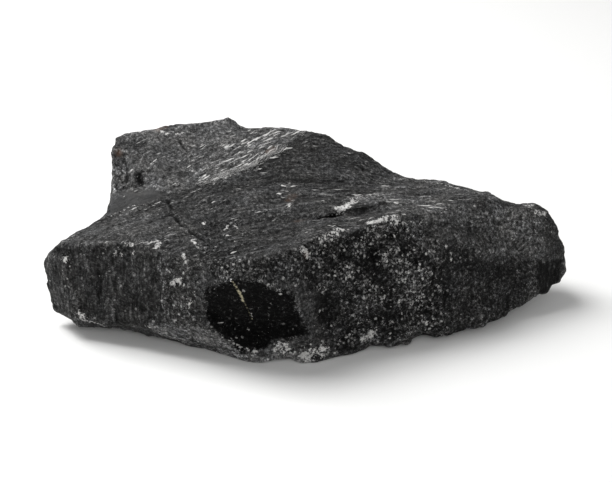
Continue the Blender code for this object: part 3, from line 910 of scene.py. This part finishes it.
def schist(settings):
    """Dark mica schist. Split along its layers it is even mid-grey with fine streaks; broken across
    them it is near black with white sugary grains, which is what gives the eye its sparkle."""
    material = bpy.data.materials.new("schist_cleaved_and_broken")
    material.use_nodes = True
    tree = material.node_tree
    shader = tree.nodes["Principled BSDF"]
    mix = {"output": 2, "data_type": "RGBA"}
    place = add(tree, "TexCoord", output="Object")
    place = add(tree, "VectorMath", {0: place, "Scale": 1.0 / MM}, operation="SCALE")
    tone, rust, vein = (
        add(tree, "Attribute", output="Fac", attribute_name=name)
        for name in ("tone", "rust", "vein")
    )
    lie, weave, kinds = (
        add(tree, "Attribute", output="Vector", attribute_name=name)
        for name in ("lie", "weave", "marks")
    )
    mark = add(tree, "SeparateXYZ", {0: kinds}).node.outputs

    # Three weaves of grain: fine all round, ribs along the streaks, upright ribs of the broken face
    fine = add(
        tree, "TexNoise",
        {"Vector": place, "Scale": 1.0 / FINE_SIZE, "Detail": 3.0, "Roughness": 0.9},
    )
    fine_colour = fine.node.outputs["Color"]
    rib = add(tree, "VectorMath", {0: lie, 1: RIB_SIZE}, operation="DIVIDE")
    rib = add(tree, "TexNoise", {"Vector": rib, "Scale": 1.0, "Detail": 3.0, "Roughness": 0.65})
    upright = add(tree, "VectorMath", {0: place, 1: UPRIGHT_SIZE}, operation="DIVIDE")
    upright = add(
        tree, "TexNoise", {"Vector": upright, "Scale": 1.0, "Detail": 3.0, "Roughness": 0.65}
    )
    woven = add(tree, "CombineXYZ", {"X": fine, "Y": rib, "Z": upright})
    woven = add(tree, "VectorMath", {0: woven, 1: (0.5, 0.5, 0.5)}, operation="SUBTRACT")
    woven = add(tree, "VectorMath", {0: woven, 1: WEAVE_STOPS}, operation="MULTIPLY")
    stops = add(tree, "VectorMath", {0: woven, 1: weave}, output=1, operation="DOT_PRODUCT")
    # Plates of the cleaved surface: each long cell a little lighter or darker
    plate = add(tree, "VectorMath", {0: lie, 1: PLATE_SIZE}, operation="DIVIDE")
    plate = add(
        tree, "VectorMath", {0: fine_colour, 1: PLATE_SHAKE, 2: plate}, operation="MULTIPLY_ADD"
    )
    plate = add(tree, "TexVoronoi", {"Vector": plate, "Scale": 1.0}, output="Color")
    plate = add(tree, "SeparateColor", {0: plate})
    plate = add(tree, "Math", {0: plate, 1: 0.5}, operation="SUBTRACT")
    cleaved = add(tree, "SeparateXYZ", {0: weave}, output=1)
    plate = add(tree, "Math", {0: plate, 1: cleaved}, operation="MULTIPLY")
    stops = add(tree, "Math", {0: plate, 1: PLATE_STOPS, 2: stops}, operation="MULTIPLY_ADD")
    # Thin dark lines along the streaks, where a long smooth noise passes its middle
    line = add(tree, "VectorMath", {0: lie, 1: LINE_SIZE}, operation="DIVIDE")
    line = add(tree, "TexNoise", {"Vector": line, "Scale": 1.0, "Detail": 3.0, "Roughness": 0.55})
    line = add(tree, "Math", {0: line, 1: 0.5}, operation="SUBTRACT")
    line = add(tree, "Math", {0: line}, operation="ABSOLUTE")
    line = add(
        tree, "MapRange",
        {"Value": line, "From Max": LINE_WIDTH, "To Min": LINE_STOPS, "To Max": 0.0},
    )
    line = add(tree, "Math", {0: cleaved, 1: line}, operation="MULTIPLY")
    stops = add(tree, "Math", {0: stops, 1: line}, operation="SUBTRACT")
    share = add(tree, "Math", {0: 2.0, 1: stops}, operation="POWER")
    share = add(tree, "Math", {0: share, 1: tone}, operation="MULTIPLY")
    # Cool and warm casts
    cast = add(
        tree, "TexNoise",
        {"Vector": place, "Scale": 1.0 / CAST_SIZE, "Detail": 3.0, "Roughness": 0.6},
    )
    low, high = CAST_RANGE
    cast = add(tree, "MapRange", {"Value": cast, "From Min": low, "From Max": high})
    tint = add(tree, "Mix", {0: cast, 6: (*settings.cool, 1.0), 7: (*settings.warm, 1.0)}, **mix)
    colour = add(tree, "Mix", {0: 1.0, 6: share, 7: tint}, **mix, blend_type="MULTIPLY")

    # Grains, thick on the sugary face: each cell draws whether it shows and how white it is
    cell = add(
        tree, "VectorMath", {0: fine_colour, 1: CELL_SHAKE, 2: place}, operation="MULTIPLY_ADD"
    )
    cell = add(tree, "TexVoronoi", {"Vector": cell, "Scale": 1.0 / CELL_SIZE}).node.outputs
    drawn = add(tree, "SeparateColor", {0: cell["Color"]}).node.outputs
    pull, start, full = GRAIN_DRAW
    shown = add(tree, "Math", {0: mark["Z"], 1: pull, 2: drawn["Red"]}, operation="MULTIPLY_ADD")
    shown = add(tree, "MapRange", {"Value": shown, "From Min": start, "From Max": full})
    start, full = CELL_ROUND
    middle = add(
        tree, "MapRange", {"Value": cell["Distance"], "From Min": start, "From Max": full},
        interpolation_type="SMOOTHSTEP",
    )
    shown = add(tree, "Math", {0: shown, 1: middle}, operation="MULTIPLY")
    white = add(tree, "Math", {0: drawn["Green"], 1: CELL_POWER}, operation="POWER")
    white = add(tree, "Math", {0: white, 1: CELL_WHITE, 2: CELL_GREY}, operation="MULTIPLY_ADD")
    white = add(tree, "Math", {0: white, 1: shown}, operation="MULTIPLY")
    feldspar = (*settings.feldspar, 1.0)
    colour = add(tree, "Mix", {0: white, 6: colour, 7: feldspar}, **mix)

    # Salt finer than the grains between them, brushed white streaks, and chips broken to white
    # powder, which are ragged and stay grey in part
    salt = add(tree, "SeparateColor", {0: fine_colour}, output="Green")
    stroke = add(tree, "VectorMath", {0: lie, 1: STROKE_SIZE}, operation="DIVIDE")
    stroke = add(tree, "TexNoise", {"Vector": stroke, "Scale": 1.0, "Detail": 2.0, "Roughness": 0.5})
    powder = add(
        tree, "TexNoise",
        {"Vector": place, "Scale": 1.0 / POWDER_SIZE, "Detail": 3.0, "Roughness": 0.7},
    )
    whites = (
        (mark["Z"], salt, SALT_DRAW),
        (mark["Y"], stroke, STROKE_DRAW),
        (mark["X"], powder, POWDER_DRAW),
    )
    for strength, noise, (pull, start, full, most) in whites:
        white = add(tree, "Math", {0: strength, 1: pull, 2: noise}, operation="MULTIPLY_ADD")
        white = {"Value": white, "From Min": start, "From Max": full, "To Max": most}
        white = add(tree, "MapRange", white)
        colour = add(tree, "Mix", {0: white, 6: colour, 7: feldspar}, **mix)

    # Iron stain and the yellow vein
    rust = add(tree, "Math", {0: rust, 1: cast}, operation="MULTIPLY")
    rust = add(tree, "Math", {0: rust, 1: RUST_SHARE}, operation="MULTIPLY")
    colour = add(tree, "Mix", {0: rust, 6: colour, 7: (*settings.rust, 1.0)}, **mix)
    pull, start, full, most = VEIN_DRAW
    vein = add(tree, "Math", {0: vein, 1: pull, 2: fine}, operation="MULTIPLY_ADD")
    vein = {"Value": vein, "From Min": start, "From Max": full, "To Max": most}
    vein = add(tree, "MapRange", vein)
    colour = add(tree, "Mix", {0: vein, 6: colour, 7: (*settings.epidote, 1.0)}, **mix)

    bump = add(tree, "Bump", {"Height": stops, "Distance": BUMP_HEIGHT * MM, "Strength": 1.0})
    tree.links.new(colour, shader.inputs["Base Color"])
    tree.links.new(bump, shader.inputs["Normal"])
    shader.inputs["Roughness"].default_value = 0.62
    shader.inputs["IOR"].default_value = 1.54
    shader.inputs["Specular IOR Level"].default_value = 0.06
    return material


def paper(settings):
    """Matt background paper, pale and even."""
    material = bpy.data.materials.new("paper_matt")
    material.use_nodes = True
    shader = material.node_tree.nodes["Principled BSDF"]
    shader.inputs["Base Color"].default_value = (*settings.floor, 1.0)
    shader.inputs["Roughness"].default_value = 0.9
    shader.inputs["Specular IOR Level"].default_value = 0.2
    return material


def make_floor(settings):
    """Round floor whose rim curves up: radius r(t) and height z(t) follow a straight run, then a
    quarter circle, turned about Z."""
    turn = np.linspace(0.0, math.pi / 2, FLOOR_RINGS)
    radius = np.concatenate([[0.0, FLOOR_FLAT / 2], FLOOR_FLAT + FLOOR_BEND * np.sin(turn)])
    height = np.concatenate([[0.0, 0.0], FLOOR_BEND * (1.0 - np.cos(turn))])
    angle = np.linspace(0.0, 2.0 * math.pi, FLOOR_SIDES, endpoint=False)
    ring = np.stack([np.outer(np.cos(angle), radius), np.outer(np.sin(angle), radius)], axis=-1)
    grid = np.concatenate([ring, np.broadcast_to(height, ring.shape[:2])[..., None]], axis=-1)
    a = np.arange(grid.shape[0])[:, None] * grid.shape[1] + np.arange(grid.shape[1] - 1)
    b = np.roll(a, -1, axis=0)
    faces = np.stack([a, a + 1, b + 1, b], axis=-1).reshape(-1, 4)
    mesh = bpy.data.meshes.new("floor")
    mesh.from_pydata(grid.reshape(-1, 3) * MM, [], faces)
    mesh.shade_smooth()
    mesh.materials.append(paper(settings))
    placed("floor", mesh)


def area_light(name, power, sides, place, turn):
    """Soft rectangular light: sides and place in metres, turn in degrees."""
    data = bpy.data.lights.new(name, "AREA")
    data.shape = "RECTANGLE"
    data.size, data.size_y = sides
    data.energy = power
    light = placed(name, data)
    light.location = place
    light.rotation_euler = [math.radians(angle) for angle in turn]


def make_lights(settings):
    """One large soft light over the stone, a little to the left and behind, a weaker one in front
    and an even sky."""
    area_light("key", settings.key_power, *KEY)
    area_light("fill", settings.fill_power, *FILL)
    world = bpy.data.worlds.new("even_sky")
    world.use_nodes = True
    background = world.node_tree.nodes["Background"]
    background.inputs["Color"].default_value = (1.0, 1.0, 1.0, 1.0)
    background.inputs["Strength"].default_value = settings.sky
    bpy.context.scene.world = world


def make_camera(settings):
    """Camera in front of the stone, looking down at the photograph's angle."""
    data = bpy.data.cameras.new("camera")
    data.lens = settings.lens
    data.sensor_width = SENSOR_MM
    camera = placed("camera", data)
    aim = np.array(CAMERA_AIM) * MM
    back = np.array((0.0, -math.cos(settings.tilt), math.sin(settings.tilt)))
    camera.location = aim + back * settings.distance
    camera.rotation_euler = (math.pi / 2 - settings.tilt, 0.0, 0.0)
    bpy.context.scene.camera = camera


class STONE_OT_skin(bpy.types.Operator):
    """Makes the fine skin of the stone around its solid"""

    bl_idname = "stone.skin"
    bl_label = "Make stone skin"

    def execute(self, context):
        skin = make_skin(context.scene.stone_skin)
        skin.data.materials.append(schist(context.scene.stone_finish))
        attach(skin, BODY)
        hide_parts(SOLID)
        return {"FINISHED"}


class STONE_OT_stage(bpy.types.Operator):
    """Makes the pale floor, the lights and the camera"""

    bl_idname = "stone.stage"
    bl_label = "Make stage"

    def execute(self, context):
        settings = context.scene.stone_stage
        make_floor(settings)
        make_lights(settings)
        make_camera(settings)
        context.scene.view_settings.view_transform = "Standard"
        return {"FINISHED"}


class STONE_PT_panel(bpy.types.Panel):
    """Lists the stone's settings and operators"""

    bl_label = "Dark schist stone"
    bl_space_type = "VIEW_3D"
    bl_region_type = "UI"
    bl_category = "Stone"

    def draw(self, context):
        for group in ("stone_skin", "stone_finish", "stone_stage"):
            settings = getattr(context.scene, group)
            box = self.layout.box()
            for name in settings.__annotations__:
                box.prop(settings, name)
        self.layout.operator("stone.skin")
        self.layout.operator("stone.stage")


CLASSES = (
    StoneSkinSettings,
    StoneFinishSettings,
    StoneStageSettings,
    STONE_OT_skin,
    STONE_OT_stage,
    STONE_PT_panel,
)


def register():
    for cls in CLASSES:
        bpy.utils.register_class(cls)
    bpy.types.Scene.stone_skin = bpy.props.PointerProperty(type=StoneSkinSettings)
    bpy.types.Scene.stone_finish = bpy.props.PointerProperty(type=StoneFinishSettings)
    bpy.types.Scene.stone_stage = bpy.props.PointerProperty(type=StoneStageSettings)


def unregister():
    del bpy.types.Scene.stone_stage
    del bpy.types.Scene.stone_finish
    del bpy.types.Scene.stone_skin
    for cls in reversed(CLASSES):
        bpy.utils.unregister_class(cls)


def main():
    """Builds the stone and its stage."""
    register()
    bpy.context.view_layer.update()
    bpy.ops.stone.skin()
    bpy.ops.stone.stage()


if __name__ == "__main__":
    main()
